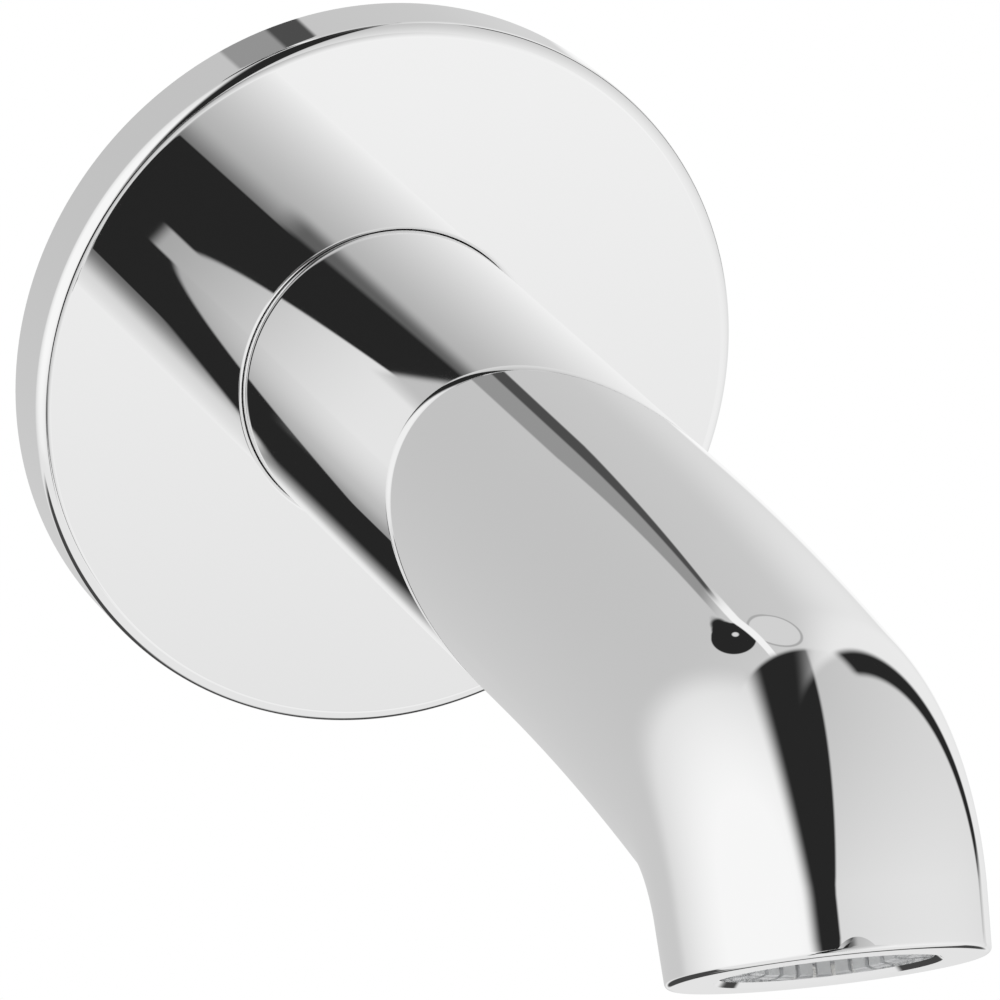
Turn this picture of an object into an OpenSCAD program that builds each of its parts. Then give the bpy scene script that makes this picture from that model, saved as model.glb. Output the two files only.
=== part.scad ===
// Wall spout: a cast, chromed gooseneck that is screwed to the wall through a round flange.
// Frame: the wall is the plane y = 0, +Z is up, and the water leaves towards -Y and down.

/* [Wall flange] */
// Diameter of the round flange on the wall
flange_d = 80; // [66:1:96]
// Distance from the wall to the flange's flat face
flange_h = 8.7; // [7.6:0.1:12]
// Thickness of the flange's face plate
plate_t = 2.5; // [1.8:0.1:3]
// Thickness of the flange's rim
rim_t = 3; // [2.4:0.1:4]
// Gap between the flange's back edge and the wall
rim_gap = 0.4; // [0.2:0.1:0.6]
// Depth of the band in which the rim leans inwards
crown_h = 3.2; // [1.5:0.1:4.5]
// How far the rim leans inwards across that band
crown_in = 0.5; // [0.2:0.1:1]
// Radius between the rim and the flat face
face_edge_r = 0.3; // [0.2:0.1:0.6]
// Radius at the mouth of the flange's bore
bore_edge_r = 0.6; // [0.3:0.1:0.9]
// Wall of the hub around the bore
hub_t = 3.6; // [3.1:0.1:5]
// Distance from the wall to the hub's back end
hub_back = 2; // [1:0.1:2.6]
// Radial gap between the spout and the flange's bore
bore_gap = 0.3; // [0.2:0.05:0.5]

/* [Spout] */
// Outer diameter of the spout
spout_d = 33.6; // [30:0.1:38]
// Wall of the casting along the spout
spout_wall = 4; // [3:0.1:5]
// Distance from the wall to the spout's inlet end
inlet_back = 1.5; // [0.5:0.1:2.5]
// Straight length of the spout in front of the flange
straight_l = 70.8; // [50:0.1:160]
// Radius of the slight sweep before the elbow
sweep_r = 390; // [250:5:450]
// Angle of the slight sweep
sweep_a = 6.05; // [4:0.05:9]
// Straight length between the sweep and the elbow
neck_l = 2; // [1.5:0.1:6]
// Radius of the elbow's centre line
elbow_r = 18.5; // [18:0.5:26]
// Angle of the elbow
elbow_a = 55.3; // [45:0.05:70]
// Length of the tapered tip after the elbow
tip_l = 6.8; // [4:0.1:12]
// How much narrower the tip's end is than the spout, in radius
tip_in = 0.7; // [0.3:0.1:1]
// Radius of the outlet's outer edge
lip_r = 0.6; // [0.3:0.1:1]
// Radius of the waterway through the elbow
water_r = 9; // [8:0.1:9.4]

/* [Inlet] */
// Radius of the nipple's thread, half of the 20.955 mm of a G 1/2 thread
thread_r = 10.48; // [10.48:0.01:10.48]
// Play between the threads in the spout and on the nipple, in radius
thread_gap = 0.12; // [0.08:0.01:0.15]
// Length of nipple screwed into the spout
engage_l = 14; // [11:0.5:16]
// Length of nipple that stands out behind the wall plane
stub_l = 14; // [10:0.5:20]
// Chamfer on each end of the nipple
nipple_chamfer = 1; // [0.6:0.1:1.4]
// Radius of the plain shank between the nipple's threads
shank_r = 9.3; // [9:0.1:9.8]
// Radius of the nipple's bore
nipple_bore_r = 5.6; // [5:0.1:5.8]
// Width across flats of the nipple's hexagon socket
socket_af = 12; // [12:0.5:13]
// Depth of the hexagon socket
socket_l = 10; // [7:0.5:12]
// Thickness of the washer between the nipple and the spout
washer_t = 2; // [1.5:0.1:3]
// Length of the cone between the washer's seat and the cavity
throat_l = 5; // [4:0.5:8]

// How much wider the spout's throat is than the nipple's bore, in radius
throat_wider = 0.4; // [0.2:0.1:0.6]
// Play round the washer in the spout's thread, in radius
washer_play = 0.6; // [0.4:0.1:0.8]

/* [Seals] */
// Thickness of the cord of the flange's sealing ring
cord_d = 1.8; // [1.7:0.1:2]
// Depth of the ring's groove in the flange's bore
groove_h = 1.25; // [1.1:0.05:1.35]
// Room beside the cord in its groove
groove_play = 0.6; // [0.4:0.1:0.7]
// Thickness of the gasket against the wall
gasket_t = 1.2; // [1:0.1:1.6]
// Width of the gasket
gasket_w = 2; // [1.6:0.1:2.2]
// Play round a seal in its seat
seal_gap = 0.05; // [0.03:0.01:0.1]

/* [Aerator] */
// Radius of the aerator's thread, half of an M21.5
aerator_r = 10.75; // [10.5:0.05:11]
// Play between the aerator and the spout's thread, in radius
aerator_gap = 0.1; // [0.06:0.01:0.15]
// Distance from the outlet's face to the aerator
recess_l = 2.6; // [2.4:0.1:4]
// Chamfer at the mouth of the outlet
mouth_in = 0.5; // [0.3:0.1:0.8]
// Length of the aerator's threaded housing
housing_l = 7.4; // [6.5:0.1:8]
// Wall of the housing
housing_t = 1.3; // [1.1:0.1:1.5]
// Number of key notches in the housing's outer end
notches = 12; // [8:1:16]
// Depth of a key notch
notch_l = 1.2; // [0.8:0.1:1.5]
// Thickness of the aerator's sealing washer
aerator_seal_t = 1.5; // [1.2:0.1:2]
// Width of the ledge that holds the aerator's inner pieces
ledge_w = 0.9; // [0.7:0.1:1.1]
// Thickness of that ledge behind the notches
ledge_t = 0.3; // [0.3:0.1:0.5]
// Thickness of the honeycomb at the aerator's outlet
comb_t = 3; // [2:0.1:3.5]
// Distance between the honeycomb's cells
comb_pitch = 2.1; // [1.9:0.1:2.6]
// Wall between the honeycomb's cells
comb_wall = 0.35; // [0.3:0.05:0.5]
// Thickness of the perforated jet plate
jet_t = 1.2; // [1:0.1:1.6]
// Radius of a hole in the jet plate
jet_hole_r = 0.5; // [0.4:0.05:0.6]
// Gap between the strainer's dome and the waterway, in radius
dome_gap = 0.9; // [0.8:0.1:1.2]
// Height of the strainer's dome
dome_h = 3.2; // [2.6:0.1:3.6]
// Wall of the strainer
dome_t = 0.6; // [0.5:0.05:0.8]
// Play between the pieces inside the housing
fit_gap = 0.06; // [0.04:0.01:0.1]

/* [Hidden] */
$fn = 96;

chrome = [0.80, 0.81, 0.82];
brass = [0.78, 0.64, 0.34];
black_rubber = [0.06, 0.06, 0.06];
red_fibre = [0.55, 0.16, 0.11];
grey_plastic = [0.72, 0.73, 0.74];
white_plastic = [0.90, 0.90, 0.88];

// A cut runs this far past the face that it opens.
over = 1;

// From the wall to the tip each length of the tube is a hair slimmer than the one before, and the
// two lap by a little, so that no two of them share a face.
tube_step = 0.05;
step_lap = 0.2;

spout_r = spout_d / 2;
sweep_bar_r = spout_r - tube_step;
neck_r = sweep_bar_r - tube_step;
elbow_bar_r = neck_r - tube_step;
tip_top_r = elbow_bar_r - tube_step;
cavity_r = spout_r - spout_wall;
sweep_core_r = cavity_r - tube_step;
neck_core_r = sweep_core_r - tube_step;
straight_end = flange_h + straight_l;

flange_r = flange_d / 2;
face_r = flange_r - crown_in;
bore_r = spout_r + bore_gap;
hub_r = bore_r + hub_t;
rim_inner_r = flange_r - rim_t;
gasket_outer_r = rim_inner_r + gasket_w;
groove_w = cord_d + groove_play;
groove_y = (hub_back + flange_h) / 2;

thread_bore_r = thread_r + thread_gap;
nipple_end = inlet_back + engage_l;
washer_seat = nipple_end + washer_t;
throat_r = nipple_bore_r + throat_wider;
washer_r = thread_bore_r - washer_play;

outlet_bore_r = aerator_r + aerator_gap;
housing_inner_r = aerator_r - housing_t;
ledge_r = housing_inner_r - ledge_w;
comb_out = recess_l + notch_l + ledge_t;
jet_out = comb_out + comb_t;
dome_out = jet_out + jet_t;
housing_in = recess_l + housing_l;
seat_in = housing_in + aerator_seal_t;
insert_r = housing_inner_r - fit_gap;
dome_r = water_r - dome_gap;
plate_rings = [[20, 0.78], [12, 0.52], [6, 0.27]];
dome_rings = [[18, 0.78], [12, 0.54], [6, 0.29]];
dome_sphere_r = (dome_r * dome_r + dome_h * dome_h) / (2 * dome_h);

// Turns a shape that stands on +Z outwards from the wall, starting y millimetres in front of it.
module outwards(y) {
    translate([0, -y, 0])
        rotate([90, 0, 0])
            children();
}

// Moves what follows to the far end of a bend of radius r and angle a.
module past_bend(r, a) {
    translate([0, 0, -r])
        rotate([a, 0, 0])
            translate([0, 0, r])
                children();
}

// A round bar of radius bar_r, bent downwards on radius r through angle a.
module bend(r, a, bar_r) {
    translate([0, 0, -r])
        rotate([180, -90, 0])
            rotate_extrude(angle = a)
                translate([r, 0])
                    circle(r = bar_r);
}

module at_sweep() {
    translate([0, -straight_end, 0])
        children();
}

module at_neck() {
    at_sweep()
        past_bend(sweep_r, sweep_a)
            children();
}

module at_elbow() {
    at_neck()
        translate([0, -neck_l, 0])
            children();
}

module at_tip() {
    at_elbow()
        past_bend(elbow_r, elbow_a)
            children();
}

// Stands a shape on the outlet's face, with +Z into the spout, starting s millimetres inside.
module into_outlet(s) {
    at_tip()
        translate([0, -tip_l + s, 0])
            rotate([-90, 0, 0])
                children();
}

// Revolved section of the tip: a slight taper that ends in a rounded lip.
module tip_section() {
    tip_r = spout_r - tip_in;
    polygon([[0, 0], [tip_r - lip_r, 0], [tip_r, lip_r], [tip_top_r, tip_l],
        [tip_top_r, tip_l + step_lap], [0, tip_l + step_lap]]);
    translate([tip_r - lip_r, lip_r])
        circle(r = lip_r);
}

module spout_outside() {
    outwards(inlet_back)
        cylinder(h = straight_end - inlet_back + step_lap, r = spout_r);
    at_sweep()
        bend(sweep_r, sweep_a, sweep_bar_r);
    at_neck()
        outwards(-step_lap)
            cylinder(h = neck_l + 2 * step_lap, r = neck_r);
    at_elbow()
        bend(elbow_r, elbow_a, elbow_bar_r);
    into_outlet(0)
        rotate_extrude()
            tip_section();
}

// The cavity that the casting's core leaves, with the threaded bores at its two ends.
module spout_inside() {
    cone_start = washer_seat + over;
    cavity_start = cone_start + throat_l;
    outwards(inlet_back - over)
        cylinder(h = engage_l + washer_t + over, r = thread_bore_r);
    outwards(inlet_back - over)
        cylinder(h = nipple_chamfer + over, r1 = thread_bore_r + nipple_chamfer + over,
            r2 = thread_bore_r);
    outwards(washer_seat - over)
        cylinder(h = 2 * over, r = throat_r);
    outwards(cone_start)
        cylinder(h = throat_l, r1 = throat_r, r2 = cavity_r);
    outwards(cavity_start)
        cylinder(h = straight_end - cavity_start + step_lap, r = cavity_r);
    at_sweep()
        bend(sweep_r, sweep_a, sweep_core_r);
    at_neck()
        outwards(-step_lap)
            cylinder(h = neck_l + step_lap, r = neck_core_r);
    at_elbow()
        sphere(r = neck_core_r - tube_step);
    at_elbow()
        bend(elbow_r, elbow_a, water_r);
    into_outlet(-over)
        cylinder(h = seat_in + over, r = outlet_bore_r);
    into_outlet(-over)
        cylinder(h = mouth_in + over, r1 = outlet_bore_r + mouth_in + over, r2 = outlet_bore_r);
}

module spout_body() {
    color(chrome)
        difference() {
            spout_outside();
            spout_inside();
        }
}

// Half of the flange's section: x is the radius and y the distance from the wall.
module flange_section() {
    edge_y = flange_h - face_edge_r;
    difference() {
        union() {
            polygon([[bore_r, hub_back], [hub_r, hub_back], [hub_r, flange_h - plate_t],
                [rim_inner_r, flange_h - plate_t], [rim_inner_r, gasket_t],
                [gasket_outer_r + seal_gap, gasket_t], [gasket_outer_r + seal_gap, rim_gap],
                [flange_r, rim_gap], [flange_r, flange_h - crown_h], [face_r, edge_y],
                [face_r - face_edge_r, flange_h], [bore_r + bore_edge_r, flange_h],
                [bore_r, flange_h - bore_edge_r]]);
            translate([face_r - face_edge_r, edge_y])
                circle(r = face_edge_r);
            translate([bore_r + bore_edge_r, flange_h - bore_edge_r])
                circle(r = bore_edge_r);
        }
        translate([bore_r - over, groove_y - groove_w / 2])
            square([over + groove_h, groove_w]);
    }
}

module wall_flange() {
    color(chrome)
        outwards(0)
            rotate_extrude()
                flange_section();
}

// The ring is drawn as it sits, pressed flat between the spout and the groove's floor.
module flange_o_ring() {
    inner_r = spout_r + seal_gap;
    outer_r = bore_r + groove_h - seal_gap;
    color(black_rubber)
        outwards(groove_y)
            rotate_extrude()
                intersection() {
                    translate([(inner_r + outer_r) / 2, 0])
                        circle(r = cord_d / 2);
                    translate([inner_r, -cord_d])
                        square([outer_r - inner_r, 2 * cord_d]);
                }
}

module wall_gasket() {
    color(black_rubber)
        outwards(0)
            difference() {
                cylinder(h = gasket_t, r = gasket_outer_r);
                translate([0, 0, -over])
                    cylinder(h = gasket_t + 2 * over, r = rim_inner_r);
            }
}

// Half of the nipple's section: x is the radius and y the distance from its end in the wall.
module nipple_section() {
    length = nipple_end + stub_l;
    end_r = thread_r - nipple_chamfer;
    polygon([[nipple_bore_r, 0], [end_r, 0], [thread_r, nipple_chamfer],
        [thread_r, stub_l], [shank_r, stub_l], [shank_r, stub_l + inlet_back],
        [thread_r, stub_l + inlet_back], [thread_r, length - nipple_chamfer],
        [end_r, length], [nipple_bore_r, length]]);
}

// A double nipple: two parallel threads with a short plain shank at the wall between them.
module inlet_nipple() {
    color(brass)
        outwards(-stub_l)
            difference() {
                rotate_extrude()
                    nipple_section();
                translate([0, 0, stub_l + nipple_end - socket_l])
                    cylinder(h = socket_l + over, r = socket_af / sqrt(3), $fn = 6);
            }
}

module nipple_washer() {
    color(red_fibre)
        outwards(nipple_end)
            difference() {
                cylinder(h = washer_t, r = washer_r);
                translate([0, 0, -over])
                    cylinder(h = washer_t + 2 * over, r = throat_r);
            }
}

module aerator_washer() {
    color(black_rubber)
        into_outlet(housing_in)
            difference() {
                cylinder(h = aerator_seal_t, r = aerator_r - seal_gap);
                translate([0, 0, -over])
                    cylinder(h = aerator_seal_t + 2 * over, r = water_r);
            }
}

module key_notches() {
    for (i = [0 : notches - 1])
        rotate([0, 0, i * 360 / notches])
            translate([housing_inner_r - over, -notch_l / 2, -over])
                cube([housing_t + 2 * over, notch_l, notch_l + over]);
}

module aerator_housing() {
    color(grey_plastic)
        into_outlet(recess_l)
            difference() {
                cylinder(h = housing_l, r = aerator_r);
                translate([0, 0, comb_out - recess_l])
                    cylinder(h = housing_l, r = housing_inner_r);
                translate([0, 0, -over])
                    cylinder(h = housing_l, r = ledge_r);
                key_notches();
            }
}

// Rows of hexagonal cells on a triangular grid, as far out as whole cells fit.
module honeycomb_cells() {
    cell_r = (comb_pitch - comb_wall) / sqrt(3);
    row_h = comb_pitch * sqrt(3) / 2;
    rows = ceil(ledge_r / row_h);
    for (j = [-rows : rows])
        for (i = [-rows : rows]) {
            x = (i + j / 2) * comb_pitch;
            y = j * row_h;
            if (norm([x, y]) + cell_r < ledge_r)
                translate([x, y, -over])
                    rotate([0, 0, 30])
                        cylinder(h = comb_t + 2 * over, r = cell_r, $fn = 6);
        }
}

module aerator_honeycomb() {
    color(white_plastic)
        into_outlet(comb_out)
            difference() {
                cylinder(h = comb_t, r = insert_r);
                honeycomb_cells();
            }
}

// Rings of small holes through a disc of radius disc_r. A ring is its number of holes and its
// radius as a share of the disc's.
module hole_rings(rings, disc_r, depth) {
    for (ring = rings)
        for (i = [0 : ring[0] - 1])
            rotate([0, 0, i * 360 / ring[0]])
                translate([ring[1] * disc_r, 0, -over])
                    cylinder(h = depth + 2 * over, r = jet_hole_r, $fn = 24);
}

module aerator_jet_plate() {
    color(grey_plastic)
        into_outlet(jet_out)
            difference() {
                cylinder(h = jet_t, r = insert_r);
                hole_rings(plate_rings, insert_r, jet_t);
            }
}

// A shallow dome on a flat rim, drilled with rings of small holes.
module aerator_strainer() {
    rim_in = housing_in - dome_out;
    color(grey_plastic)
        into_outlet(dome_out)
            difference() {
                union() {
                    cylinder(h = rim_in, r = insert_r);
                    translate([0, 0, rim_in])
                        intersection() {
                            translate([0, 0, dome_h - dome_sphere_r])
                                sphere(r = dome_sphere_r);
                            cylinder(h = dome_h + over, r = dome_r);
                        }
                }
                translate([0, 0, rim_in])
                    intersection() {
                        translate([0, 0, dome_h - dome_sphere_r])
                            sphere(r = dome_sphere_r - dome_t);
                        cylinder(h = dome_h, r = dome_r - dome_t);
                    }
                translate([0, 0, -over])
                    cylinder(h = rim_in + over, r = dome_r - 2 * dome_t);
                hole_rings(dome_rings, dome_r, rim_in + dome_h);
            }
}

spout_body();
wall_flange();
flange_o_ring();
wall_gasket();
inlet_nipple();
nipple_washer();
aerator_washer();
aerator_housing();
aerator_honeycomb();
aerator_jet_plate();
aerator_strainer();
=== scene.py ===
from math import cos, radians, sin, sqrt

import bpy
from mathutils import Matrix, Vector


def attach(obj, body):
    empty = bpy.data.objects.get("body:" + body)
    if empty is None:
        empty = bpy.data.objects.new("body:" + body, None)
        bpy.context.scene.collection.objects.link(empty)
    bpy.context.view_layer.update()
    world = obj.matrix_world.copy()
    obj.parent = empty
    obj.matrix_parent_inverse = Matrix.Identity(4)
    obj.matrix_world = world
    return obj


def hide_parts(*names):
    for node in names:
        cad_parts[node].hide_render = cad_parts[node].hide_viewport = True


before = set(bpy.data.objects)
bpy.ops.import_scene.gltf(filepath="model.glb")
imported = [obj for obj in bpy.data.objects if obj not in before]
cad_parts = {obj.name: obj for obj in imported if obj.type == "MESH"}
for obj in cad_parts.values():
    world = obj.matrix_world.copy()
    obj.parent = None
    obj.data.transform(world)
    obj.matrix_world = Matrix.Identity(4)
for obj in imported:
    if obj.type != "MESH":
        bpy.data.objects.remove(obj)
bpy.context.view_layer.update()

# The camera stands well back with a long lens, to the left of the spout and a little above it,
# as the photographer's did, so that the flange and the outlet keep nearly parallel outlines.
bpy.ops.object.select_all(action="DESELECT")
bpy.ops.object.camera_add(
    location=(-0.36317, -0.97537, 0.33820),
    rotation=(radians(71.1709), radians(-3.4581), radians(-20.1236)),
)
camera = bpy.context.object
camera.name = "photo_camera"
camera.data.lens = 360.0
camera.data.sensor_width = 36.0
camera.data.clip_end = 20.0
bpy.context.scene.camera = camera


# The wall flange is a turned brass cover, 80 mm wide and 8.7 mm deep, polished and chromed. Its
# face is dead flat and rounds over into the rim, and a hub behind the plate guides it on the tube.
# It pushes on from the front, and the ring in its bore holds it.
flange_d = 0.080
flange_h = 0.0087
spout_d = 0.0336
flange_sides = 256
smooth_below = radians(30)


def start_ring(name, radius, y, steps):
    """A round edge loop in a plane parallel to the wall, left selected in edit mode."""
    bpy.ops.object.select_all(action="DESELECT")
    bpy.ops.mesh.primitive_circle_add(
        vertices=steps, radius=radius, location=(0, y, 0), rotation=(radians(90), 0, 0)
    )
    piece = bpy.context.object
    piece.name = name
    bpy.ops.object.transform_apply(location=True, rotation=True, scale=True)
    bpy.ops.object.mode_set(mode="EDIT")
    bpy.ops.mesh.select_all(action="SELECT")
    return piece


def draw_on(centre, heading, radius, forward, new_radius):
    """Draws the selected loop out along its heading and opens or closes it to a new radius."""
    step = heading * forward
    bpy.ops.mesh.extrude_region_move(TRANSFORM_OT_translate={"value": step})
    centre = centre + step
    if abs(new_radius - radius) > 1e-9:
        k = new_radius / radius
        bpy.ops.transform.resize(value=(k, k, k), center_override=centre)
    return centre, new_radius


def finish_turned(piece):
    """Closes the shell, points its faces outwards and shades it smooth up to its real edges."""
    bpy.ops.mesh.select_all(action="SELECT")
    bpy.ops.mesh.remove_doubles(threshold=1e-6)
    bpy.ops.mesh.normals_make_consistent(inside=False)
    bpy.ops.object.mode_set(mode="OBJECT")
    bpy.ops.object.shade_smooth_by_angle(angle=smooth_below)
    return piece


def round_edge(out_from, in_to, radius, steps):
    """Points of a quarter round between two directions, given as (radius, y) steps."""
    points = []
    for i in range(1, steps + 1):
        a = radians(90) * i / steps
        points.append(
            (
                out_from[0] * radius * sin(a) + in_to[0] * radius * (1 - cos(a)),
                out_from[1] * radius * sin(a) + in_to[1] * radius * (1 - cos(a)),
            )
        )
    return points


bore_gap, groove_in, hub_wall = 0.00003, 0.00152, 0.0038
rim_wall, seat_w, plate_t = 0.003, 0.00205, 0.0025
face_edge, bore_edge = 0.0014, 0.0004
rim_back, rim_chamfer, seat_y, hub_back = 0.0004, 0.00015, 0.0012, 0.0020
groove_low, groove_high = 0.00415, 0.00655
ring_step = 0.00012

rim_r = flange_d / 2
bore_r = spout_d / 2 + bore_gap
hub_r = bore_r + hub_wall
groove_r = bore_r + groove_in
pocket_r = rim_r - rim_wall
seat_r = pocket_r + seat_w
plate_back = flange_h - plate_t

# The outline is turned from the rim's back edge over the face into the bore, and round the hub
# and the hollow back to where it began. Extra rings near the rounded edges keep the shading flat.
turning = [
    (rim_r, rim_back + rim_chamfer),
    (rim_r, 2 * rim_back),
    (rim_r, flange_h - face_edge - rim_back / 2),
    (rim_r, flange_h - face_edge),
]
for dr, dy in round_edge((0, 1), (-1, 0), face_edge, 24):
    turning.append((rim_r + dr, flange_h - face_edge + dy))
turning.append((turning[-1][0] - ring_step, flange_h))
turning.append((bore_r + bore_edge + ring_step, flange_h))
turning.append((bore_r + bore_edge, flange_h))
for dr, dy in round_edge((-1, 0), (0, -1), bore_edge, 8):
    turning.append((bore_r + bore_edge + dr, flange_h + dy))
turning += [
    (bore_r, groove_high),
    (groove_r, groove_high),
    (groove_r, groove_low),
    (bore_r, groove_low),
    (bore_r, hub_back),
    (hub_r, hub_back),
    (hub_r, plate_back),
    (pocket_r, plate_back),
    (pocket_r, seat_y),
    (seat_r, seat_y),
    (seat_r, rim_back),
    (rim_r - rim_chamfer, rim_back),
    (rim_r, rim_back + rim_chamfer),
]
flange = start_ring("flange_cover", turning[0][0], -turning[0][1], flange_sides)
place, size, wide = Vector((0, -turning[0][1], 0)), turning[0][1], turning[0][0]
for r, depth in turning[1:]:
    place, wide = draw_on(place, Vector((0, -1, 0)), wide, depth - size, r)
    size = depth
finish_turned(flange)
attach(flange, "root")
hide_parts("wall_flange")


# The chrome is a hard bright plating over polished brass. It mirrors cleanly; close to, the buffing
# has left a very slight unevenness, and the gloss is not quite the same all over.
patch_grain = 45.0
noise_low, noise_high = 0.12, 0.42


def grain_group():
    """Uneven gloss and a fine height, from two sizes of noise on the piece's own coordinates."""
    group = bpy.data.node_groups.new("uneven_gloss", "ShaderNodeTree")
    face = group.interface
    for name, kind in (
        ("Position", "NodeSocketVector"),
        ("Grain", "NodeSocketFloat"),
        ("Smoothest", "NodeSocketFloat"),
        ("Roughest", "NodeSocketFloat"),
    ):
        face.new_socket(name=name, in_out="INPUT", socket_type=kind)
    for name in ("Roughness", "Height", "Patches"):
        face.new_socket(name=name, in_out="OUTPUT", socket_type="NodeSocketFloat")
    nodes, links = group.nodes, group.links
    given = nodes.new("NodeGroupInput")
    gives = nodes.new("NodeGroupOutput")
    fine = nodes.new("ShaderNodeTexNoise")
    fine.inputs["Detail"].default_value = 3.0
    coarse = nodes.new("ShaderNodeTexNoise")
    coarse.inputs["Scale"].default_value = patch_grain
    coarse.inputs["Detail"].default_value = 2.0
    both = nodes.new("ShaderNodeMath")
    both.operation = "MULTIPLY"
    spread = nodes.new("ShaderNodeMapRange")
    spread.inputs["From Min"].default_value = noise_low
    spread.inputs["From Max"].default_value = noise_high
    links.new(given.outputs["Position"], fine.inputs["Vector"])
    links.new(given.outputs["Position"], coarse.inputs["Vector"])
    links.new(given.outputs["Grain"], fine.inputs["Scale"])
    links.new(fine.outputs["Fac"], both.inputs[0])
    links.new(coarse.outputs["Fac"], both.inputs[1])
    links.new(both.outputs[0], spread.inputs["Value"])
    links.new(given.outputs["Smoothest"], spread.inputs["To Min"])
    links.new(given.outputs["Roughest"], spread.inputs["To Max"])
    links.new(spread.outputs["Result"], gives.inputs["Roughness"])
    links.new(fine.outputs["Fac"], gives.inputs["Height"])
    links.new(coarse.outputs["Fac"], gives.inputs["Patches"])
    return group


uneven_gloss = grain_group()


def finish_of(name, colour, shade, metal, grain, smoothest, roughest, height):
    """A procedural finish: two close colours in soft patches, uneven gloss and a fine relief."""
    material = bpy.data.materials.new(name)
    material.use_nodes = True
    nodes, links = material.node_tree.nodes, material.node_tree.links
    surface = nodes["Principled BSDF"]
    surface.inputs["Metallic"].default_value = metal
    where = nodes.new("ShaderNodeTexCoord")
    gloss = nodes.new("ShaderNodeGroup")
    gloss.node_tree = uneven_gloss
    gloss.inputs["Grain"].default_value = grain
    gloss.inputs["Smoothest"].default_value = smoothest
    gloss.inputs["Roughest"].default_value = roughest
    tone = nodes.new("ShaderNodeMix")
    tone.data_type = "RGBA"
    tone.inputs[6].default_value = (*colour, 1)
    tone.inputs[7].default_value = (*shade, 1)
    relief = nodes.new("ShaderNodeBump")
    relief.inputs["Distance"].default_value = height
    links.new(where.outputs["Object"], gloss.inputs["Position"])
    links.new(gloss.outputs["Patches"], tone.inputs[0])
    links.new(tone.outputs[2], surface.inputs["Base Color"])
    links.new(gloss.outputs["Roughness"], surface.inputs["Roughness"])
    links.new(gloss.outputs["Height"], relief.inputs["Height"])
    links.new(relief.outputs["Normal"], surface.inputs["Normal"])
    return material


chrome = finish_of(
    "polished_chrome", (0.93, 0.93, 0.93), (0.92, 0.92, 0.92), 1.0, 30, 0.004, 0.012, 0.0000002
)
flange.data.materials.append(chrome)


# The spout is one brass casting, cored along its whole bend, then ground and polished round and
# plated. Its back end is tapped for the nipple, and its outlet is counterbored and tapped for a
# recessed aerator; the outlet's edge is rounded over and its mouth is chamfered.
back_y = -0.0015
back_round = 0.0003
tube_r = spout_d / 2
tip_r = tube_r - 0.0007
straight_end = flange_h + 0.0708
sweep_r, sweep_a = 0.390, radians(6.05)
neck_l = 0.002
elbow_r, elbow_a = 0.0185, radians(55.3)
tip_l = 0.00679
lip_r = 0.0006
lip_step = 0.0001
outlet_r = 0.01085
mouth_in = 0.0005
seat_in = 0.0115
water_r = 0.009
cavity_r = 0.0128
tapped_r = 0.0106
throat_r = 0.006
washer_seat = 0.0175
throat_l = 0.005
lead_in = 0.0010
tube_sides = 192
sweep_steps, elbow_steps, neck_steps, tip_steps = 16, 44, 3, 6
core_steps, core_part = 8, 0.65


def turn_down(centre, heading, radius, angle, steps):
    """Spins the selected loop downwards round a bend. The operator itself turns the other way."""
    hinge = centre + Vector((0, -heading.z, heading.y)) * radius
    bpy.ops.mesh.spin(
        steps=steps, dupli=False, angle=-angle, center=hinge, axis=(1, 0, 0)
    )
    turn = Matrix.Rotation(angle, 3, "X")
    return hinge + turn @ (centre - hinge), turn @ heading


# The outside, drawn forward from the tapped end. A close ring before the sweep keeps its crease.
body = start_ring("spout_casting", tapped_r + lead_in, back_y, tube_sides)
place, ahead, wide = Vector((0, back_y, 0)), Vector((0, -1, 0)), tapped_r + lead_in
place, wide = draw_on(place, ahead, wide, 0, tube_r - back_round)
back_edge = place.copy()
for dr, dy in round_edge((1, 0), (0, 1), back_round, 4):
    forward = dy - (place - back_edge).length
    place, wide = draw_on(place, ahead, wide, forward, tube_r - back_round + dr)
place, wide = draw_on(place, ahead, wide, back_round, tube_r)
place, wide = draw_on(place, ahead, wide, straight_end + place.y - back_round, tube_r)
place, wide = draw_on(place, ahead, wide, back_round, tube_r)
place, ahead = turn_down(place, ahead, sweep_r, sweep_a, sweep_steps)
tapered_l = neck_l + elbow_r * elbow_a + tip_l - lip_r


def slimmer(along):
    """The tube narrows towards its tip, slowly at first."""
    return tube_r - (tube_r - tip_r) * (along / tapered_l) ** 1.75


along = 0
for i in range(neck_steps):
    along += neck_l / neck_steps
    place, wide = draw_on(place, ahead, wide, neck_l / neck_steps, slimmer(along))
for i in range(elbow_steps):
    along += elbow_r * elbow_a / elbow_steps
    place, ahead = turn_down(place, ahead, elbow_r, elbow_a / elbow_steps, 1)
    bpy.ops.transform.resize(value=(slimmer(along) / wide,) * 3, center_override=place)
    wide = slimmer(along)
for i in range(tip_steps):
    along += (tip_l - lip_r) / tip_steps
    place, wide = draw_on(place, ahead, wide, (tip_l - lip_r) / tip_steps, slimmer(along))
lip_top = place.copy()
for dr, dy in round_edge((0, 1), (-1, 0), lip_r, 8):
    place, wide = draw_on(place, ahead, wide, dy - (place - lip_top).length, tip_r + dr)
place, wide = draw_on(place, ahead, wide, 0, wide - lip_step)
place, wide = draw_on(place, ahead, wide, 0, outlet_r + mouth_in + lip_step)
place, wide = draw_on(place, ahead, wide, 0, outlet_r + mouth_in)
place, wide = draw_on(place, ahead, wide, -mouth_in, outlet_r)
place, wide = draw_on(place, ahead, wide, mouth_in - seat_in, outlet_r)
place, wide = draw_on(place, ahead, wide, 0, water_r)
bpy.ops.object.mode_set(mode="OBJECT")

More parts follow.
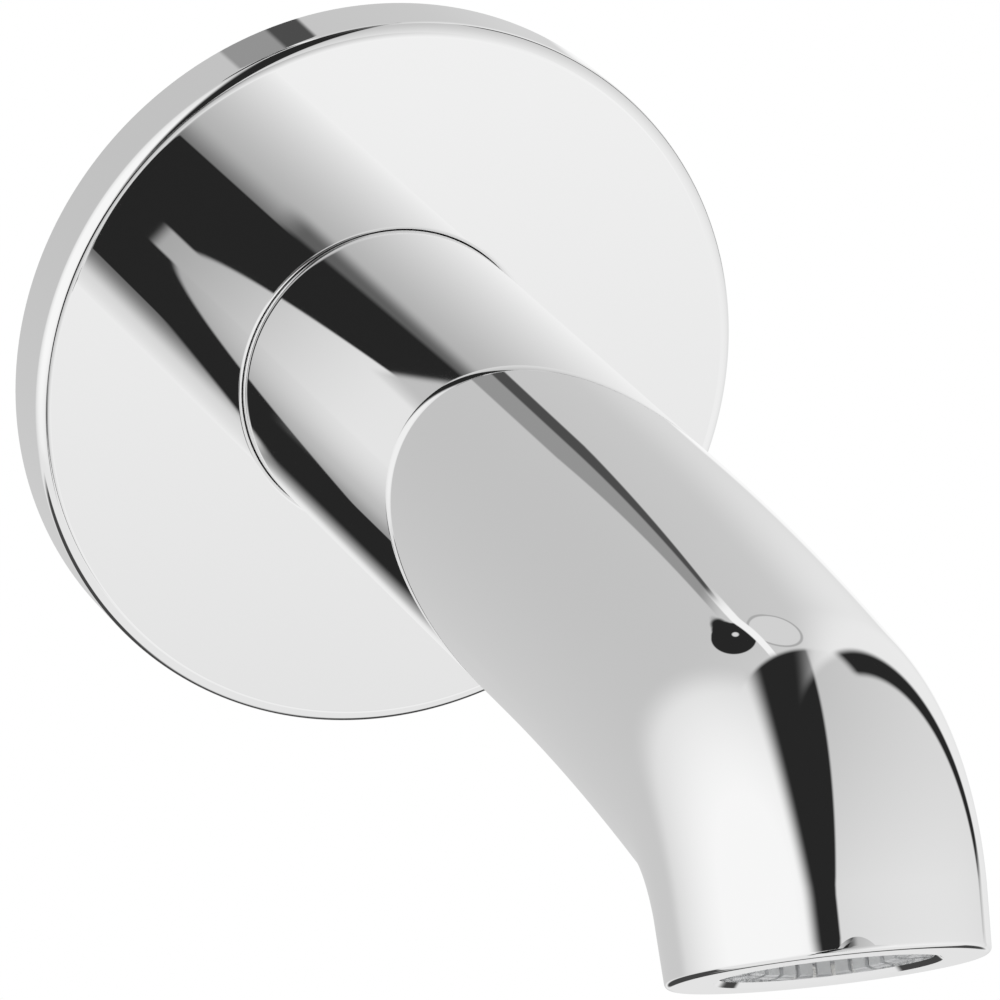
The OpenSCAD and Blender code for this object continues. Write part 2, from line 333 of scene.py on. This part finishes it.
# The inside, from the same edge through the tapped inlet, its shoulder and the cored bend.
waterway = start_ring("waterway", tapped_r + lead_in, back_y, tube_sides)
place, ahead, wide = Vector((0, back_y, 0)), Vector((0, -1, 0)), tapped_r + lead_in
place, wide = draw_on(place, ahead, wide, lead_in, tapped_r)
place, wide = draw_on(place, ahead, wide, washer_seat + place.y, tapped_r)
place, wide = draw_on(place, ahead, wide, 0, throat_r)
place, wide = draw_on(place, ahead, wide, lead_in, throat_r)
place, wide = draw_on(place, ahead, wide, throat_l, cavity_r)
place, wide = draw_on(place, ahead, wide, straight_end + place.y, cavity_r)
place, ahead = turn_down(place, ahead, sweep_r, sweep_a, core_steps)
place, wide = draw_on(place, ahead, wide, neck_l, cavity_r)
for i in range(1, core_steps + 1):
    core_r = cavity_r + (water_r - cavity_r) * i / core_steps
    place, ahead = turn_down(place, ahead, elbow_r, elbow_a * core_part / core_steps, 1)
    place, wide = draw_on(place, ahead, wide, 0, core_r)
bpy.ops.object.mode_set(mode="OBJECT")

# Joined, the two open ends meet at the aerator's seat and are bridged there.
bpy.ops.object.select_all(action="DESELECT")
waterway.select_set(True)
body.select_set(True)
bpy.context.view_layer.objects.active = body
bpy.ops.object.join()
bpy.ops.object.mode_set(mode="EDIT")
bpy.ops.mesh.select_all(action="SELECT")
bpy.ops.mesh.remove_doubles(threshold=1e-6)
bpy.ops.mesh.normals_make_consistent(inside=False)
bpy.ops.mesh.select_all(action="DESELECT")
bpy.ops.mesh.select_non_manifold(extend=False)
bpy.ops.mesh.bridge_edge_loops()
finish_turned(body)
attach(body, "root")
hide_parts("spout_body")
body.data.materials.append(chrome)


# The nipple is turned from brass bar: a parallel half-inch pipe thread on each side of a short
# plain shank, a waterway through it, and a hexagon socket in its front end for the key that
# screws it into the wall. Only the thread behind the wall shows.
thread_r = 0.01048
pitch = 0.0254 / 14
root_r = thread_r - 0.64 * pitch
shank_r = 0.0093
bore_w = 0.0056
stub_end = 0.0140
nipple_front = -0.0155
shank_front = -0.0015
chamfer = 0.0010
key_w, key_in = 0.012, 0.010
nipple_sides = 96
turns, winding = 20, 72
trim = 0.0005
overrun = 0.001
flank_extra = 0.00002


def only(*pieces):
    """Selects these pieces alone, the last of them active."""
    bpy.ops.object.select_all(action="DESELECT")
    for piece in pieces:
        piece.select_set(True)
    bpy.context.view_layer.objects.active = pieces[-1]


def cut_with(piece, tool, operation):
    """Applies a boolean of one piece with a tool, and takes the tool away."""
    only(piece)
    step = piece.modifiers.new("cut", "BOOLEAN")
    step.operation = operation
    step.object = tool
    step.solver = "EXACT"
    bpy.ops.object.modifier_apply(modifier=step.name)
    bpy.data.objects.remove(tool, do_unlink=True)


# One edge of a grid becomes the thread's outline, four points to a pitch: the root's flat, the
# flank and the crest's flat. The Screw modifier winds it into one thread, cut square at both ends.
bpy.ops.object.select_all(action="DESELECT")
bpy.ops.mesh.primitive_grid_add(
    x_subdivisions=4 * turns, y_subdivisions=1, size=1, location=(0, 0, 0)
)
nipple = bpy.context.object
nipple.name = "nipple_threads"
bpy.ops.object.mode_set(mode="EDIT")
bpy.ops.mesh.select_all(action="DESELECT")
bpy.ops.object.mode_set(mode="OBJECT")
for v in nipple.data.vertices:
    v.select = v.co.y > 0
bpy.ops.object.mode_set(mode="EDIT")
bpy.ops.mesh.delete(type="VERT")
bpy.ops.object.mode_set(mode="OBJECT")
flank_r = thread_r + flank_extra
cutter_steps = ((0.0, root_r), (0.16, root_r), (0.5, flank_r), (0.66, flank_r))
for i, v in enumerate(sorted(nipple.data.vertices, key=lambda v: v.co.x)):
    along, out = cutter_steps[i % 4]
    v.co = (out, nipple_front - 2 * pitch + (i // 4 + along) * pitch, 0)
screw = nipple.modifiers.new("thread", "SCREW")
screw.axis = "Y"
screw.angle = radians(360)
screw.screw_offset = pitch
screw.steps = winding
screw.render_steps = winding
screw.use_merge_vertices = False
only(nipple)
bpy.ops.object.modifier_apply(modifier=screw.name)
bpy.ops.object.mode_set(mode="EDIT")
bpy.ops.mesh.select_all(action="SELECT")
bpy.ops.mesh.remove_doubles(threshold=1e-6)
bpy.ops.mesh.normals_make_consistent(inside=False)
bpy.ops.mesh.bisect(
    plane_co=(0, nipple_front - trim, 0), plane_no=(0, 1, 0), use_fill=True, clear_inner=True
)
bpy.ops.mesh.select_all(action="SELECT")
bpy.ops.mesh.bisect(
    plane_co=(0, stub_end + trim, 0), plane_no=(0, 1, 0), use_fill=True, clear_outer=True
)
bpy.ops.mesh.select_all(action="SELECT")
bpy.ops.mesh.normals_make_consistent(inside=False)
bpy.ops.object.mode_set(mode="OBJECT")

# What the thread shares with the turned blank is the nipple, with its chamfers, shank and bore.
blank = start_ring("nipple_blank", bore_w, stub_end, nipple_sides)
place, wide = Vector((0, stub_end, 0)), bore_w
for forward, r in (
    (0, thread_r - chamfer),
    (chamfer, thread_r),
    (stub_end - chamfer, thread_r),
    (0, shank_r),
    (-shank_front, shank_r),
    (0, thread_r),
    (shank_front - nipple_front - chamfer, thread_r),
    (chamfer, thread_r - chamfer),
    (0, bore_w),
    (nipple_front - stub_end, bore_w),
):
    place, wide = draw_on(place, Vector((0, -1, 0)), wide, forward, r)
finish_turned(blank)
cut_with(nipple, blank, "INTERSECT")

bpy.ops.object.select_all(action="DESELECT")
bpy.ops.mesh.primitive_cylinder_add(
    vertices=6,
    radius=key_w / sqrt(3),
    depth=key_in + overrun,
    location=(0, nipple_front + (key_in - overrun) / 2, 0),
    rotation=(radians(90), 0, 0),
)
key_socket = bpy.context.object
bpy.ops.object.transform_apply(location=True, rotation=True, scale=True)
cut_with(nipple, key_socket, "DIFFERENCE")
only(nipple)
bpy.ops.object.mode_set(mode="EDIT")
bpy.ops.mesh.select_all(action="SELECT")
bpy.ops.mesh.remove_doubles(threshold=2e-6)
bpy.ops.mesh.fill_holes(sides=8)
bpy.ops.mesh.normals_make_consistent(inside=False)
bpy.ops.object.mode_set(mode="OBJECT")
bpy.ops.object.shade_smooth_by_angle(angle=radians(25))
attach(nipple, "root")
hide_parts("inlet_nipple")
nipple.data.materials.clear()
nipple.data.materials.append(
    finish_of("turned_brass", (0.78, 0.64, 0.34), (0.70, 0.55, 0.27), 1.0, 900, 0.22, 0.4, 0.00001)
)


# The seals are moulded black rubber: the ring in the flange's bore, the flat gasket in its back
# that takes up the wall's unevenness, and the washer behind the aerator.
def dress(node, material):
    """Gives a carried-over CAD piece its finish."""
    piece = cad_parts[node]
    piece.data.materials.clear()
    piece.data.materials.append(material)


rubber = finish_of(
    "moulded_rubber", (0.045, 0.045, 0.047), (0.075, 0.075, 0.078), 0.0, 2500, 0.55, 0.8, 0.00003
)
for node in ("flange_o_ring", "wall_gasket", "aerator_washer"):
    dress(node, rubber)


# The washer between the nipple's end and the casting's shoulder is stamped from red vulcanised
# fibre. The nipple squeezes it as it is screwed home, and water swells it a little tighter.
fibre = finish_of(
    "vulcanised_fibre", (0.55, 0.16, 0.11), (0.42, 0.11, 0.08), 0.0, 1200, 0.5, 0.75, 0.00004
)
dress("nipple_washer", fibre)


# The recessed aerator is moulded in grey and white plastic: a threaded housing with key notches,
# the honeycomb that straightens the jet, the perforated plate that draws air in, and a strainer.
grey_plastic = finish_of(
    "grey_moulding", (0.72, 0.73, 0.74), (0.66, 0.67, 0.68), 0.0, 1500, 0.3, 0.45, 0.00001
)
white_plastic = finish_of(
    "white_moulding", (0.90, 0.90, 0.88), (0.84, 0.84, 0.82), 0.0, 1500, 0.3, 0.45, 0.00001
)
for node in ("aerator_housing", "aerator_jet_plate", "aerator_strainer"):
    dress(node, grey_plastic)
dress("aerator_honeycomb", white_plastic)


# The studio: a pale floor well below the spout and plain white light from all round. What the
# chrome mirrors is the photographer's set: a soft box on each side with a dark gap between them,
# where the camera stands, and behind the spout a grey backdrop with a dark flag and a lamp's stand.
white = 1.0
plain_light = 0.95
floor_depth = 0.9
floor_side = 3.0
floor_colour = 0.88

bpy.ops.object.select_all(action="DESELECT")
bpy.ops.mesh.primitive_plane_add(size=floor_side, location=(0, 0, -floor_depth))
floor = bpy.context.object
floor.name = "studio_floor"
floor.visible_glossy = False

world = bpy.data.worlds.new("studio")
bpy.context.scene.world = world
world.use_nodes = True
sky_nodes, sky_links = world.node_tree.nodes, world.node_tree.links
sky = sky_nodes.new("ShaderNodeTexCoord")


def sum_of(nodes, links, values):
    """Adds sockets and plain numbers, and holds the sum between 0 and 1."""
    total = values[0]
    for value in values[1:]:
        add = nodes.new("ShaderNodeMath")
        add.operation = "ADD"
        add.use_clamp = True
        links.new(total, add.inputs[0])
        if isinstance(value, float):
            add.inputs[1].default_value = value
        else:
            links.new(value, add.inputs[1])
        total = add.outputs[0]
    return total


def seen_by(nodes, links, *rays):
    """1 for the named kinds of ray and 0 for all others."""
    path = nodes.new("ShaderNodeLightPath")
    return sum_of(nodes, links, [path.outputs[f"Is {ray} Ray"] for ray in rays])


def towards(azimuth, elevation):
    """A direction in the studio, in degrees: from straight ahead towards +X, and then up."""
    a, e = radians(azimuth), radians(elevation)
    return Vector((sin(a) * cos(e), -cos(a) * cos(e), sin(e)))


def along_axis(axis):
    """How far the looked-at direction points along an axis."""
    dot = sky_nodes.new("ShaderNodeVectorMath")
    dot.operation = "DOT_PRODUCT"
    dot.inputs[1].default_value = axis
    sky_links.new(sky.outputs["Generated"], dot.inputs[0])
    return dot.outputs["Value"]


def rise(value, low, high):
    """Goes softly from 0 to 1 as a value goes from one bound to the other."""
    ramp = sky_nodes.new("ShaderNodeMapRange")
    ramp.interpolation_type = "SMOOTHSTEP"
    ramp.inputs["From Min"].default_value = low
    ramp.inputs["From Max"].default_value = high
    sky_links.new(value, ramp.inputs["Value"])
    return ramp.outputs["Result"]


def edge(one, other, inside, soft):
    """A straight edge through two directions, 1 on the side of a third, soft to so many degrees."""
    square = one.cross(other).normalized()
    if square.dot(inside) < 0:
        square.negate()
    half = sin(radians(soft))
    return rise(along_axis(square), -half, half)


def band(axis, low, high, soft):
    """1 where the direction's part along an axis lies between two values."""
    part = along_axis(axis)
    return [rise(part, low - soft, low + soft), rise(part, high + soft, high - soft)]


def within(centre, size, soft):
    """1 in a round patch of so many degrees about a direction."""
    return rise(along_axis(centre), cos(radians(size + soft)), cos(radians(size - soft)))


def outside(centre, size, soft):
    """1 all round such a patch."""
    return rise(along_axis(centre), cos(radians(size - soft)), cos(radians(size + soft)))


def tone_of(base, slope):
    """A panel's brightness, which changes evenly across the studio and never passes white."""
    return sum_of(sky_nodes, sky_links, [along_axis(slope), base])


def lay(under, tone, masks):
    """Lays a panel over what is there, within all its masks."""
    cover = masks[0]
    for mask in masks[1:]:
        both = sky_nodes.new("ShaderNodeMath")
        both.operation = "MULTIPLY"
        sky_links.new(cover, both.inputs[0])
        if isinstance(mask, float):
            both.inputs[1].default_value = mask
        else:
            sky_links.new(mask, both.inputs[1])
        cover = both.outputs[0]
    mix = sky_nodes.new("ShaderNodeMix")
    sky_links.new(cover, mix.inputs[0])
    for given, socket in ((under, mix.inputs[2]), (tone, mix.inputs[3])):
        if isinstance(given, float):
            socket.default_value = given
        else:
            sky_links.new(given, socket)
    return mix.outputs[0]


def round_the_lens(turned, off):
    """A direction so many degrees off straight ahead, turned so far from upright towards +X."""
    t, o = radians(turned), radians(off)
    return Vector((sin(o) * sin(t), -cos(o), sin(o) * cos(t)))


def spoke(turned, soft, inside):
    """A straight edge from straight ahead outwards."""
    return edge(straight_on, round_the_lens(turned, 26), inside, soft)


dark = 0.021
up, down, across = Vector((0, 0, 1)), Vector((0, 0, -1)), Vector((1, 0, 0))
straight_on, far_side = Vector((0, -1, 0)), Vector((0, 1, 0))
left_side, right_side, wall_side = towards(-90, 20), towards(60, 20), towards(180, 30)

# The large panels. The two soft boxes leave the dark gap between them. On the backdrop's right
# hang the dark flag and, beside it, a strip of light that spills past it.
left_box = [
    edge(towards(-115.5, 67), towards(-30, 20), left_side, 5.5),
    edge(towards(-26, 12), towards(-25.5, -20), left_side, 1.5),
]
right_box = [
    edge(towards(123, 77), towards(-12.4, 28.3), right_side, 1.0),
    edge(towards(-30, 74), towards(150, 74), right_side, 4.0),
]
backdrop = [
    edge(towards(-155, 63), towards(163, 61), wall_side, 1.2),
    edge(towards(-139, 60), towards(-139, 0), wall_side, 7.0),
    edge(towards(123, 48), towards(121, 0), wall_side, 2.0),
]
spill = [
    edge(towards(134, 50), towards(127, -5), wall_side, 2.0),
    edge(towards(145, 50), towards(150, -5), right_side, 9.0),
    rise(along_axis(up), -1.0, 0.0),
    0.75,
]
flag = [
    edge(towards(122, 48), towards(120.5, -8), wall_side, 1.5),
    edge(towards(135, 50), towards(128, -5), right_side, 1.5),
    *band(up, -0.19, 0.74, 0.04),
]
panels = [
    (tone_of(0.59, (-0.42, -0.15, 0.11)), left_box),
    (tone_of(0.73, (0.09, -0.12, -0.15)), right_box),
    (tone_of(0.75, (0.05, -0.16, -0.05)), backdrop),
    (0.94, spill),
    (dark, flag),
]

# In front of the backdrop, a lamp on its stand: the stand with a dark leg, a glass with a grey
# rim, the lamp's dark head with a spot of light, and a bright bar beside it.
behind = edge(towards(-90, 0), towards(0, 90), towards(180, 0), 1.0)
lamp_glass, lamp_head, lamp_spot = towards(166, 49.5), towards(-169, 47.3), towards(-172, 46.5)
lamp_bar = [behind, *band(across, -0.025, 0.03, 0.006), *band(up, 0.63, 0.885, 0.012)]
stand_side = edge(towards(172.2, 26.9), towards(179.2, 38.6), left_side, 0.3)
stand_height = band(up, 0.375, 0.628, 0.012)
stand_start = edge(towards(-176.5, 27), towards(-174.8, 38), right_side, 0.4)
leg_start = edge(towards(176.2, 27), towards(-179.2, 38.4), right_side, 0.4)
panels += [
    (0.22, [behind, stand_side, stand_start, *stand_height, 0.75]),
    (0.05, [behind, stand_side, leg_start, *stand_height, 0.9]),
    (0.42, [within(lamp_glass, 9.6, 0.3)]),
    (0.68, [within(lamp_glass, 8.7, 0.3)]),
    (dark, [within(lamp_head, 8.5, 0.3)]),
    (0.70, [within(lamp_spot, 1.2, 0.4)]),
    (0.95, lamp_bar),
]

# Below, the pale floor, and behind the spout the table's dark edge.
table_edge = [rise(along_axis(far_side), 0.0, 0.1), *band(up, -0.97, -0.60, 0.04)]
panels += [(0.84, [rise(along_axis(up), -0.47, -0.56)]), (0.06, table_edge)]

# Round the lens, the narrow ring that the flange's face and the straight tube show each other.
# It holds the ends of both soft boxes and of the dark gap, above and below.
ring = within(straight_on, 28.7, 0.08)
high_ring = [ring, rise(along_axis(up), 0.25, 0.35)]
low_ring = [ring, rise(along_axis(up), -0.25, -0.35)]
outer_ring = outside(straight_on, 26.15, 0.12)
left_chord = edge(round_the_lens(-20, 25.5), round_the_lens(-142, 25.6), left_side, 0.3)
top_chord = edge(round_the_lens(-18.5, 26), round_the_lens(-10.5, 27.3), left_side, 0.35)
foot_chord = edge(towards(-1.5, 0), towards(-1.5, -28), left_side, 3.5)
foot_glow = edge(towards(6, 0), towards(6, -28), left_side, 6)
foot_curve = outside(towards(0.3, -3.6), 23.44, 0.1)
panels += [
    (tone_of(0.66, (0.556, 0, -0.341)), [ring]),
    (0.17, [*high_ring, spoke(-12, 6, left_side)]),
    (0.13, [*high_ring, outer_ring, spoke(-3, 3, left_side)]),
    (dark, [*high_ring, outer_ring, top_chord]),
    (0.16, [*low_ring, spoke(-156.5, 7, left_side)]),
    (dark, [ring, left_chord]),
    (0.3, [*low_ring, outside(straight_on, 26.9, 0.1), foot_glow]),
    (dark, [*low_ring, foot_curve, foot_chord]),
]

# On the ring's left, the light that comes out bottle-shaped in the mirrored tube, and last the
# part of the floor that the flat face shows and the bright strip along the tube's right.
glow = lay(0.40, 0.90, [rise(along_axis(straight_on), cos(radians(25.3)), cos(radians(27.4)))])
shoulder = [
    ring,
    outside(towards(5, 0), 30.8, 0.05),
    spoke(-134, 20, up),
    spoke(-142.5, 0.3, up),
    spoke(-36, 5, left_side),
]
neck = [
    ring,
    outside(straight_on, 25.66, 0.05),
    spoke(-97, 0.6, up),
    spoke(-78.5, 0.6, down),
    edge(towards(-10, 0), towards(-10, 20), left_side, 1),
]
rim_light = [
    *high_ring,
    outside(round_the_lens(40, 0.69), 27.1, 0.04),
    spoke(-52, 1, up),
    spoke(-14, 6, left_side),
]
panels += [
    (glow, shoulder),
    (glow, neck),
    (0.6, rim_light),
    (tone_of(1.387, (0, 0, 1.6)), [within(towards(20.6, -18.3), 3.2, 0.3)]),
    (0.97, [within(towards(153.5, -14), 4.5, 2.5)]),
]

set_tone = dark
for tone, masks in panels:
    set_tone = lay(set_tone, tone, masks)

mirrored = seen_by(sky_nodes, sky_links, "Glossy", "Transmission")
pictured = seen_by(sky_nodes, sky_links, "Camera")
shown = lay(lay(plain_light, set_tone, [mirrored]), white, [pictured])
sky_links.new(shown, sky_nodes["Background"].inputs["Color"])

paper = bpy.data.materials.new("floor_paper")
paper.use_nodes = True
paper_nodes, paper_links = paper.node_tree.nodes, paper.node_tree.links
matt = paper_nodes["Principled BSDF"]
matt.inputs["Base Color"].default_value = (floor_colour, floor_colour, floor_colour, 1)
matt.inputs["Roughness"].default_value = 0.9
matt.inputs["Specular IOR Level"].default_value = 0.0
matt.inputs["Emission Color"].default_value = (1, 1, 1, 1)
lift = paper_nodes.new("ShaderNodeMath")
lift.operation = "MULTIPLY"
lift.inputs[1].default_value = white - floor_colour * plain_light
paper_links.new(
    seen_by(paper_nodes, paper_links, "Camera", "Glossy", "Transmission"), lift.inputs[0]
)
paper_links.new(lift.outputs[0], matt.inputs["Emission Strength"])
floor.data.materials.append(paper)

bpy.context.scene.view_settings.view_transform = "Standard"
